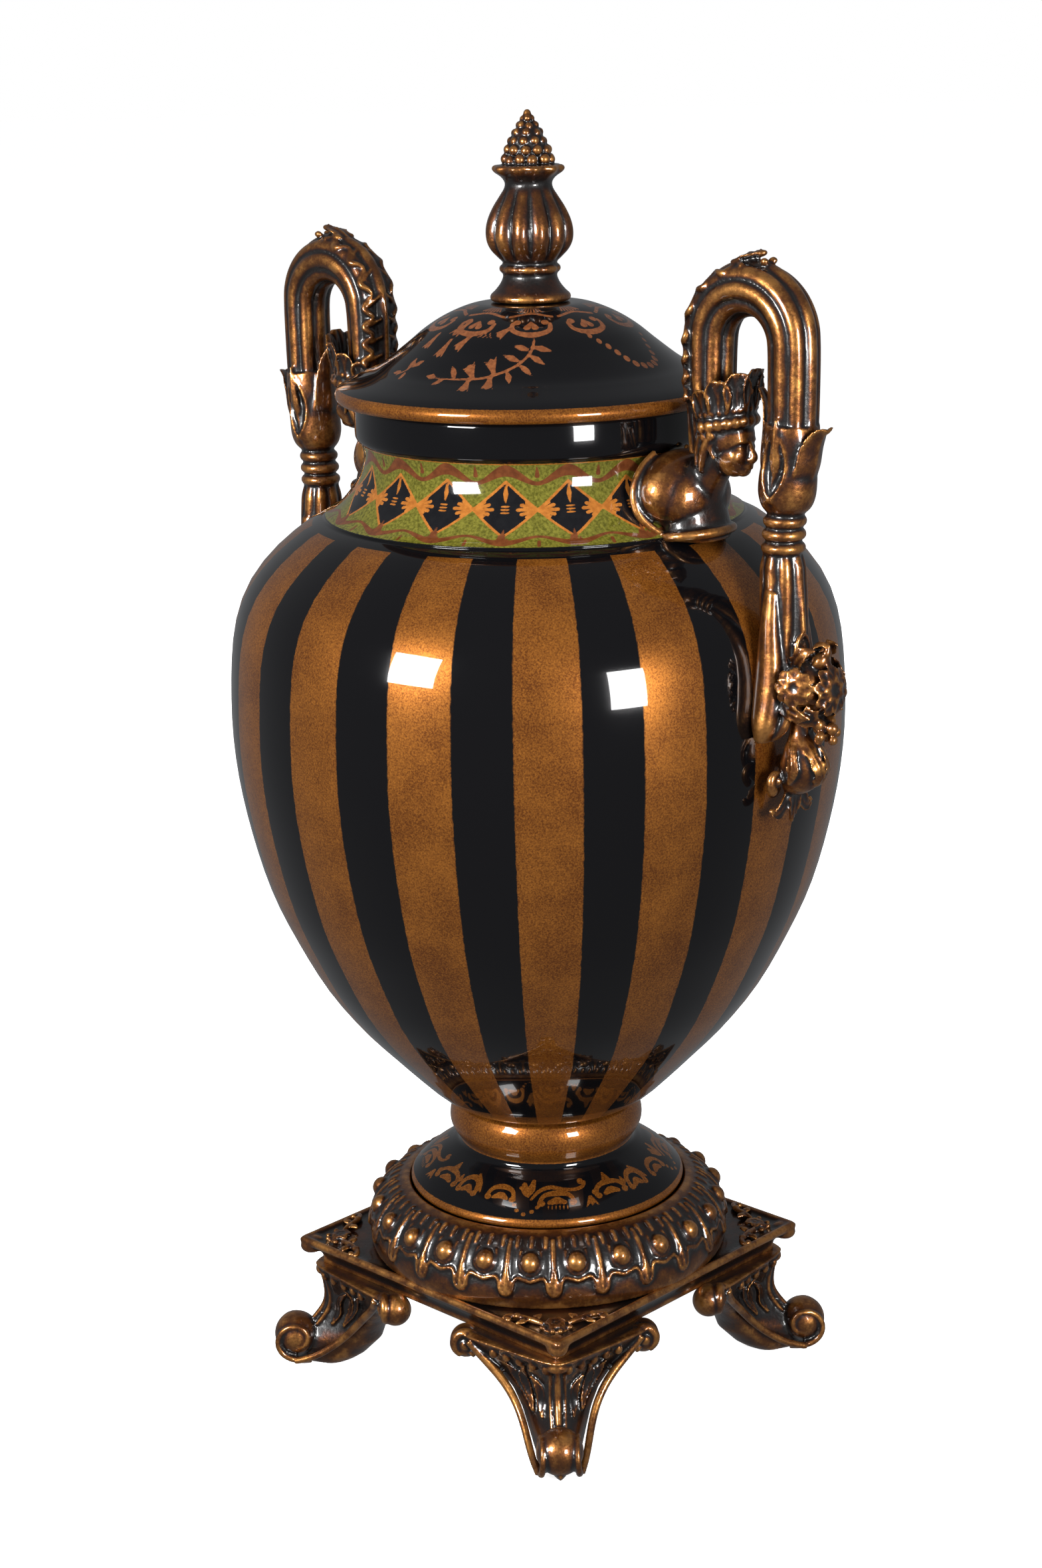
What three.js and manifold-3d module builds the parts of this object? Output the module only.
// Mantel urn: a porcelain urn with a domed lid on a square footed stand, with two
// cast handles that each end in a crowned bust, and a cast finial.
// Millimetres, +Z up. The origin is on the ground, on the urn's axis. The handles
// lie in the XZ plane, and the stand's sides run along X and Y.
import * as THREE from 'three';
import Module from 'manifold-3d';

const wasm = await Module();
wasm.setup();

// ---- Driving dimensions -------------------------------------------------------
const GAP = 0.3;                 // glue or resting gap between two pieces
const WALL = 4.5;                // porcelain wall
const BELLY_RADIUS = 125;
const TURNED_SIDES = 32;         // facets round the urn and its lid

const STAND_TOP = 83.7;          // seat of the porcelain foot
const RIM_TOP = 58;              // top of the square plinth's rim
const PLINTH_BOTTOM = 45;
const PLINTH_HALF = 76.5;        // half the side of the square rim
const COLLAR_RADIUS = 76.5;      // round collar that carries the eggs and darts
const EGG_COUNT = 24;
const FOOT_ANGLES = [45, 135, 225, 315];

const SEAM_Z = 121;              // seam between the foot and the vessel
const SHOULDER_RIDGE = [84.5, 372];
const MOUTH_Z = 417;             // top of the vessel's mouth
const MOUTH_RADIUS = 71;
const LID_RADIUS = 78.5;
const LID_TOP = 455.2;
const FINIAL_TIP = 529;

const ARCH_RADIUS = 19.5;        // centre line of the handle's arch
const ARCH_CENTRE = [112, 447];  // [distance from the axis, height]
const LIMB_RADIUS = 9.4;         // reeded limb
const REEDS = 8;

// ---- Helpers ------------------------------------------------------------------
const vec = (x, y, z) => new THREE.Vector3(x, y, z);
const rad = (degrees) => degrees * Math.PI / 180;

// A closed skin over rings of equally many points, with a fan over each end. Each
// ring runs anticlockwise when seen from the end the rings advance towards.
function skin(rings, startPoint, endPoint) {
  const sides = rings[0].length;
  const points = rings.flat().concat([startPoint, endPoint]);
  const start = points.length - 2;
  const end = points.length - 1;
  const last = (rings.length - 1) * sides;
  const index = [];
  for (let j = 0; j < sides; j += 1) {
    const k = (j + 1) % sides;
    index.push(start, k, j, end, last + j, last + k);
    for (let i = 0; i < rings.length - 1; i += 1) {
      const low = i * sides;
      const high = low + sides;
      index.push(low + j, low + k, high + k, low + j, high + k, high + j);
    }
  }
  const geometry = new THREE.BufferGeometry().setFromPoints(points);
  geometry.setIndex(index);
  return geometry;
}

const middle = (ring) => ring.reduce((sum, p) => sum.add(p), vec(0, 0, 0)).divideScalar(ring.length);

const loft = (rings) => skin(rings, middle(rings[0]), middle(rings[rings.length - 1]));

function solid(geometry) {
  const position = geometry.getAttribute('position');
  const mesh = new wasm.Mesh({
    numProp: 3,
    vertProperties: new Float32Array(position.array),
    triVerts: new Uint32Array(geometry.getIndex().array),
  });
  mesh.merge();
  return new wasm.Manifold(mesh);
}

function geometryOf(manifold) {
  const mesh = manifold.getMesh();
  const geometry = new THREE.BufferGeometry();
  geometry.setAttribute('position', new THREE.BufferAttribute(mesh.vertProperties, 3));
  geometry.setIndex(new THREE.BufferAttribute(mesh.triVerts, 1));
  return geometry;
}

const join = (geometries) => geometries.map(solid).reduce((sum, piece) => sum.add(piece));

// Turn a profile of [radius, height] pairs about Z. It starts and ends on the axis,
// and swell(angle, height) scales the radius for lobes and scallops.
function turned(profile, sides, swell = () => 1) {
  const [first, ...rest] = profile;
  const lastPoint = rest.pop();
  const rings = rest.map(([radius, z]) => {
    const ring = [];
    for (let j = 0; j < sides; j += 1) {
      const angle = 2 * Math.PI * j / sides;
      const r = radius * swell(angle, z);
      ring.push(vec(r * Math.cos(angle), r * Math.sin(angle), z));
    }
    return ring;
  });
  return skin(rings, vec(0, 0, first[1]), vec(0, 0, lastPoint[1]));
}

// A smooth curve through [radius, height] points, sampled in equal steps.
function smooth(points, count) {
  const curve = new THREE.CatmullRomCurve3(points.map(([r, z]) => vec(r, 0, z)));
  return curve.getSpacedPoints(count).map((p) => [p.x, p.z]);
}

// An ellipsoid with its poles on Z, turned about Y by tilt degrees.
function ellipsoid(centre, radii, sides = 10, rows = 6, tilt = 0) {
  const rings = [];
  for (let i = 1; i < rows; i += 1) {
    const polar = Math.PI * i / rows;
    const ring = [];
    for (let j = 0; j < sides; j += 1) {
      const angle = 2 * Math.PI * j / sides;
      ring.push(vec(
        radii[0] * Math.sin(polar) * Math.cos(angle),
        radii[1] * Math.sin(polar) * Math.sin(angle),
        -radii[2] * Math.cos(polar),
      ));
    }
    rings.push(ring);
  }
  const geometry = skin(rings, vec(0, 0, -radii[2]), vec(0, 0, radii[2]));
  return geometry.rotateY(rad(tilt)).translate(...centre);
}

// A rod along a path in the XZ plane. Each stop is [x, z, half depth, half width]:
// depth lies in the plane and width across it. flute(angle) scales the section.
function rod(stops, sides, flute = () => 1) {
  const path = stops.map(([x, z]) => vec(x, 0, z));
  const rings = stops.map(([x, z, depth, width], i) => {
    const ahead = path[Math.min(i + 1, path.length - 1)];
    const behind = path[Math.max(i - 1, 0)];
    const along = ahead.clone().sub(behind).normalize();
    const across = vec(0, 1, 0);
    const outward = across.clone().cross(along);
    const ring = [];
    for (let j = 0; j < sides; j += 1) {
      const angle = 2 * Math.PI * j / sides;
      const size = flute(angle);
      ring.push(vec(x, 0, z)
        .addScaledVector(outward, depth * size * Math.cos(angle))
        .addScaledVector(across, width * size * Math.sin(angle)));
    }
    return ring;
  });
  return loft(rings);
}

// ---- Stand: square plinth, egg-and-dart collar and four scroll feet -----------
// The plinth's rings are squares with softly drawn-out corners.
function plinthRing(half, z, ear) {
  const ring = [];
  const steps = [[-1, 1], [-0.9, 0.2], [0, 0], [0.9, 0.2]];
  for (let side = 0; side < 4; side += 1) {
    for (const [t, share] of steps) {
      const stretch = half + ear * share;
      ring.push(vec(stretch, t * stretch, z).applyAxisAngle(vec(0, 0, 1), side * Math.PI / 2));
    }
  }
  return ring;
}

function plinth() {
  return loft([
    plinthRing(69.5, PLINTH_BOTTOM, -4),
    plinthRing(71.5, PLINTH_BOTTOM + 6, -2),
    plinthRing(PLINTH_HALF - 1, RIM_TOP - 3.4, 0),
    plinthRing(PLINTH_HALF, RIM_TOP - 1.5, 0),
    plinthRing(PLINTH_HALF - 1.2, RIM_TOP, 0),
    plinthRing(PLINTH_HALF - 4, RIM_TOP - 1.6, 0),
  ]);
}

// Round collar. Eggs swell its upper half and the leaf tips of the darts, which
// stand between the eggs, swell its lower half.
function collar() {
  const swell = (angle, z) => {
    const wave = -Math.cos(EGG_COUNT * angle);
    if (z > 70 && z < 80) return 1 + 0.028 * wave;
    if (z > 60 && z < 68) return 1 - 0.014 * wave;
    return 1;
  };
  const shape = [[COLLAR_RADIUS, 59], [77, 64], [75.6, 69], [73.4, 75], [68, 80.5], [61.5, STAND_TOP]];
  return turned([[0, PLINTH_BOTTOM + 5], [COLLAR_RADIUS - 3, PLINTH_BOTTOM + 5], ...shape, [0, STAND_TOP]],
    EGG_COUNT * 2, swell);
}

// A foot stands along +X before it is turned to its corner. Each stop gives a level
// section: [height, back, front, half width at the back, half width at the front].
function footBlock() {
  const stops = [
    [0, 88, 112, 6.5, 7],
    [4, 80, 118, 9.5, 10],
    [11, 73, 116, 12, 10.5],
    [17, 71, 104.5, 14, 11],
    [24, 68, 98, 17.5, 11],
    [32, 64, 95.5, 24, 9.5],
    [40, 59, 98.5, 34, 7],
    [PLINTH_BOTTOM + 3, 56, 103, 40, 4],
  ];
  const rings = stops.map(([z, back, front, wideBack, wideFront]) => {
    const half = [[back + (front - back) * 0.35, wideBack], [front - 5, wideFront * 0.9], [front, wideFront * 0.4]];
    const right = half.map(([x, y]) => vec(x, -y, z));
    const left = half.map(([x, y]) => vec(x, y, z)).reverse();
    return [...right, ...left, vec(back, 0, z)];
  });
  return loft(rings);
}

function foot() {
  const toe = ellipsoid([111.8, 0, 12], [8.6, 8.8, 8.4], 8, 5);
  const volutes = [-1, 1].map((side) => ellipsoid([66, side * 37, 41], [6.5, 6.5, 6.8], 6, 4));
  const ear = ellipsoid([104, 0, 53.5], [6.2, 4, 4.6], 6, 4, 25);
  return [footBlock(), toe, ...volutes, ear];
}

// A flower between two leaves, in the corner of the plinth outside the collar.
function cornerSpray() {
  const leaves = [-1, 1].map((side) => ellipsoid([85, side * 12, 57], [3, 8, 2.4], 6, 3));
  return [ellipsoid([90, 0, 57.3], [4.6, 4.6, 3], 6, 3), ...leaves];
}

function stand() {
  const corners = FOOT_ANGLES.flatMap((angle) => (
    [...foot(), ...cornerSpray()].map((geometry) => geometry.rotateZ(rad(angle)))));
  return join([plinth(), collar(), ...corners]);
}

// ---- Porcelain ----------------------------------------------------------------
function footSocle() {
  const dome = [[57, 88.2], [52, 93], [45, 97.6], [37.3, 102.6]];
  const torus = [[37.2, 106], [40.2, 109.5], [40.8, 114], [40, 118], [38, SEAM_Z]];
  return turned([[0, STAND_TOP + GAP], [57.2, STAND_TOP + GAP], [58.5, 86], ...dome, ...torus, [0, SEAM_Z]],
    TURNED_SIDES);
}

const bellyOutline = smooth([[38, SEAM_Z + GAP], [45.5, 126], [55, 135], [67, 147.5], [79, 160.5], [92, 178],
  [103, 198.5], [112, 219], [119, 244], [123.6, 270], [BELLY_RADIUS, 294], [122.4, 327], [117.5, 342],
  [110, 353], [101, 361.6], [91.5, 368.6], [SHOULDER_RIDGE[0] + 1, SHOULDER_RIDGE[1] - 0.6]], 13);
const neckOutline = [[SHOULDER_RIDGE[0], SHOULDER_RIDGE[1] + 0.6], [75, 380], [69.4, 388.5],
  [67.6, 396.5], [68.8, 401], [MOUTH_RADIUS, 404.5], [MOUTH_RADIUS, MOUTH_Z]];

// The outline moved inwards by the wall, from the mouth down to the inner floor.
const vesselInside = [[MOUTH_RADIUS - 8, MOUTH_Z], [MOUTH_RADIUS - 8, 394], [72.5, 377], [96, 359.5],
  [113, 339], [BELLY_RADIUS - WALL - 0.5, 290], [105, 215], [78, 166], [36, 128.5]];

const vessel = () => turned([[0, SEAM_Z + GAP], ...bellyOutline, ...neckOutline, ...vesselInside, [0, 127]],
  TURNED_SIDES);

const lidOutline = [[LID_RADIUS - 3.5, MOUTH_Z + GAP], [LID_RADIUS, 420.4], [LID_RADIUS - 1, 423],
  [74, 424.5], [65, 428.8], [51, 439.3], [40, 447], [29, 452.3], [16.5, LID_TOP]];

// The dome is as thick as the wall, and its flange hangs inside the mouth.
function lid() {
  const inside = [[30, 446.4], [57, 424.5], [57.5, 409]];
  const flange = [[61.5, 409], [62, MOUTH_Z + GAP]];
  return turned([[0, 451], ...inside, ...flange, ...lidOutline, [0, LID_TOP]], TURNED_SIDES);
}

// ---- Finial -------------------------------------------------------------------
const LOBES = 12;

function finial() {
  const bottom = LID_TOP + GAP;
  const base = [[14.6, bottom], [16, bottom + 1.8], [11, 465.6], [11.3, 468], [10.4, 470.4]];
  const bulb = [[16, 476.4], [17.1, 483], [14.4, 491.5], [9.6, 499.6]];
  const cup = [[14, 505.8], [12.2, 507.8]];
  const cone = [[9.8, 508.2], [9.8, 512], [6.6, 519], [2.8, 526]];
  const swell = (angle, z) => {
    if (z > 508) return 1 + 0.08 * Math.cos(LOBES * angle) * (z < 520 ? 1 : 0);
    return z > 471 ? 1 + 0.04 * Math.cos(LOBES * angle) : 1;
  };
  return turned([[0, bottom], ...base, ...bulb, ...cup, ...cone, [0, FINIAL_TIP]], LOBES * 2, swell);
}

// ---- Handle, built over +X ----------------------------------------------------
const reeded = (angle) => 1 + 0.055 * Math.cos(REEDS * angle);

// The reeded arch climbs behind the head, turns over and drops into the calyx.
function arch() {
  const [cx, cz] = ARCH_CENTRE;
  const bend = 7;
  const stops = [[92.6, 408, 8.6], [92.4, 428, LIMB_RADIUS]];
  for (let i = 0; i <= bend; i += 1) {
    const angle = Math.PI * (1 - i / bend);
    stops.push([cx + ARCH_RADIUS * Math.cos(angle), cz + ARCH_RADIUS * Math.sin(angle),
      LIMB_RADIUS + 0.9 * Math.sin(angle)]);
  }
  stops.push([131.2, 424, LIMB_RADIUS], [129.8, 398, 8.4]);
  return rod(stops.map(([x, z, size]) => [x, z, size, size]), REEDS * 2, reeded);
}

// A pointed leaf along a path: [x, z, half thickness, half width] stops.
const leaf = (stops) => rod(stops, 6);

// A leaf on the crown of the arch.
const crest = () => leaf([[107, 475.6, 1.5, 3], [113, 478.4, 2.4, 5], [119.5, 477, 0.8, 1.5]]);

// Tulip calyx: a cup round the limb, with a leaf standing out on each side.
function calyx() {
  const cup = rod([[127.7, 385.2, 7, 7], [128.2, 389, 10.4, 10.4], [128.8, 395, 11, 11],
    [130.4, 409, 9.6, 9.8]], 10);
  const outer = leaf([[137.5, 394, 2, 6.5], [142.2, 408, 2, 6.4], [147.3, 417, 0.7, 2]]);
  const inner = leaf([[120.5, 396, 2, 6], [119.4, 416, 2, 6], [115.8, 430.5, 0.7, 1.6]]);
  return [cup, outer, inner];
}

// Three turned rings between the stem and the calyx.
function neckRings() {
  const stops = [[126.7, 370, 7, 7]];
  for (let i = 0; i < 3; i += 1) {
    const z = 372.6 + i * 5;
    const x = 126.9 + i * 0.35;
    stops.push([x, z, 8.5, 8.5], [x + 0.2, z + 2.6, 7, 7]);
  }
  stops.push([127.9, 387, 7, 7]);
  return rod(stops, 10);
}

// Fluted stem that lies down on the belly and spreads into two hooked scrolls.
function stem() {
  const flutes = (angle) => 1 + 0.07 * Math.cos(6 * angle);
  const shaft = rod([[130.5, 300, 5, 9.5], [129.8, 312, 7, 12], [128.6, 334, 8.6, 10.4],
    [127.4, 356, 8.8, 9], [126.8, 371, 7.8, 7.8]], 12, flutes);
  const hooks = [-1, 1].map((side) => ellipsoid([128.5, side * 10, 303.5], [5.4, 4.6, 6.2], 6, 4));
  return [shaft, ...hooks, ellipsoid([136, 0, 331], [2.8, 4.6, 8], 6, 4)];
}

// Flowers on the stem's end, and the leaf scroll that hangs below them.
function flowers() {
  const bloom = ellipsoid([140.5, 0, 320], [12, 12, 12], 8, 5);
  const bud = ellipsoid([148, 0, 325], [5.4, 6.4, 8], 6, 4, 35);
  const topLeaf = leaf([[136, 327, 2, 5], [140, 334, 2, 4.6], [144, 338.5, 0.8, 1.6]]);
  const berries = ellipsoid([146.5, 0, 307], [5.6, 7, 5.6], 6, 4);
  const drop = rod([[130.5, 276, 3, 5], [134.5, 282, 8, 9], [137, 291, 8.8, 8.8], [136.2, 301, 5, 5],
    [137.5, 311, 5, 6]], 8);
  const curls = ellipsoid([131.5, 0, 284.5], [5, 13, 5.2], 6, 4);
  return [bloom, bud, topLeaf, berries, drop, curls, ellipsoid([130.5, 0, 272.5], [3.6, 8, 6], 6, 4)];
}

// Bust: shoulders on the urn's neck, and a head that looks outwards.
function bust() {
  const shoulders = ellipsoid([74.5, 0, 387.5], [18.5, 22.5, 16.5], 12, 6);
  const chest = ellipsoid([87, 0, 377], [12, 15, 5.6], 8, 4, 8);
  const throat = rod([[86.5, 376, 8, 10.5], [88.2, 389, 7.2, 8.4], [95, 402, 8, 8]], 8);
  const skull = ellipsoid([100.8, 0, 411.5], [11.6, 9.2, 11], 8, 5);
  const jaw = ellipsoid([105.4, 0, 403], [7.4, 6.6, 7.6], 6, 4, -20);
  return [shoulders, chest, throat, skull, jaw];
}

// Fan crown: low at the back, tall over the brow, and wider towards its edge.
function crown() {
  const levels = [[-0.4, 13.2, 10.6], [0.3, 13.2, 10.6], [1, 14.8, 12.6]];
  const tilted = levels.map(([share, depth, width]) => {
    const ring = [];
    for (let j = 0; j < 10; j += 1) {
      const angle = Math.PI * j / 5;
      const rise = 4.5 + 5.5 * (1 + Math.cos(angle));
      ring.push(vec(98.2 + share * 1.6 + depth * Math.cos(angle), width * Math.sin(angle),
        417 + 2.6 * Math.cos(angle) + share * rise));
    }
    return ring;
  });
  return loft(tilted);
}

// The vessel and lid, grown by the glue gap, so that a handle keeps clear of them.
function keepClear() {
  const grown = (profile) => profile.map(([r, z]) => [r + GAP * 1.4, z]);
  const vesselSpace = [[0, SEAM_Z], ...grown(bellyOutline), ...grown(neckOutline), [0, MOUTH_Z]];
  const lidSpace = [[0, MOUTH_Z - 0.5], ...grown(lidOutline), [0, LID_TOP]];
  return join([turned(vesselSpace, TURNED_SIDES), turned(lidSpace, TURNED_SIDES)]);
}

function handle() {
  return join([arch(), crest(), ...calyx(), neckRings(), ...stem(), ...flowers(), ...bust(), crown()])
    .subtract(keepClear());
}

// ---- Scene --------------------------------------------------------------------
const bronze = { color: 0x7a4a22, roughness: 0.32, metalness: 0.75 };
const porcelain = { color: 0x15110f, roughness: 0.12, metalness: 0.1 };

function part(name, geometry, look, turn = 0) {
  const mesh = new THREE.Mesh(geometry, new THREE.MeshStandardMaterial(look));
  mesh.name = name;
  mesh.rotation.z = turn;
  return mesh;
}

const group = new THREE.Group();
const handleShape = geometryOf(handle());
group.add(
  part('base_stand', geometryOf(stand()), bronze),
  part('foot_socle', footSocle(), porcelain),
  part('urn_body', vessel(), porcelain),
  part('lid', lid(), porcelain),
  part('finial', finial(), bronze),
  part('handle_right', handleShape, bronze),
  part('handle_left', handleShape, bronze, Math.PI),
);

export default group;
